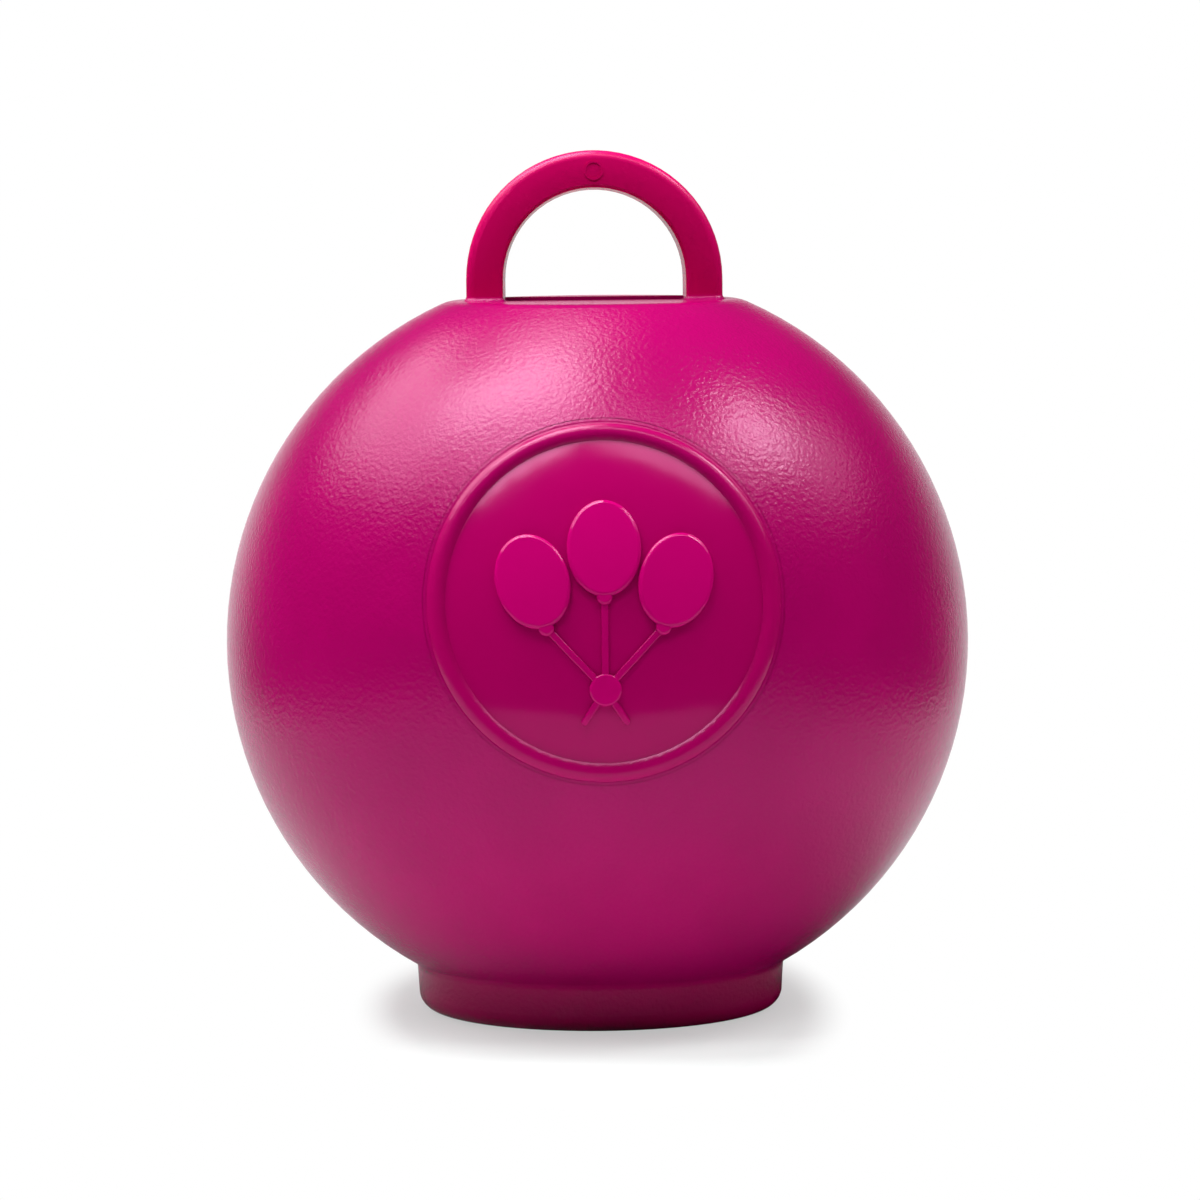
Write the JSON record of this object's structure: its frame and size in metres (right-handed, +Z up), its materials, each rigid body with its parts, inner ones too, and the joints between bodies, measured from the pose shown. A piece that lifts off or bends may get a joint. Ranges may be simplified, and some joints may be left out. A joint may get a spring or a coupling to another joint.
{
  "type": "balloon weight",
  "caption": "Sand-filled plastic ball with a carrying loop on its flat top, a round raised-rim panel on the front and a round foot, made to hold balloon ribbons down.",
  "frame": {"origin": "centre of the foot's underside, on the surface that the weight stands on", "axes": "+Z up; the round panel faces -Y; the handle's arch lies in the XZ plane"},
  "size_m": [0.05, 0.05, 0.0578],
  "materials": {
    "ball_plastic": "satin",
    "cap_plastic": "satin",
    "sand": "matte"
  },
  "bodies": {
    "root": {"front_shell": "ball_plastic", "rear_shell": "ball_plastic", "base_cap": "cap_plastic", "sand_fill": "sand"}
  },
  "joints": []
}
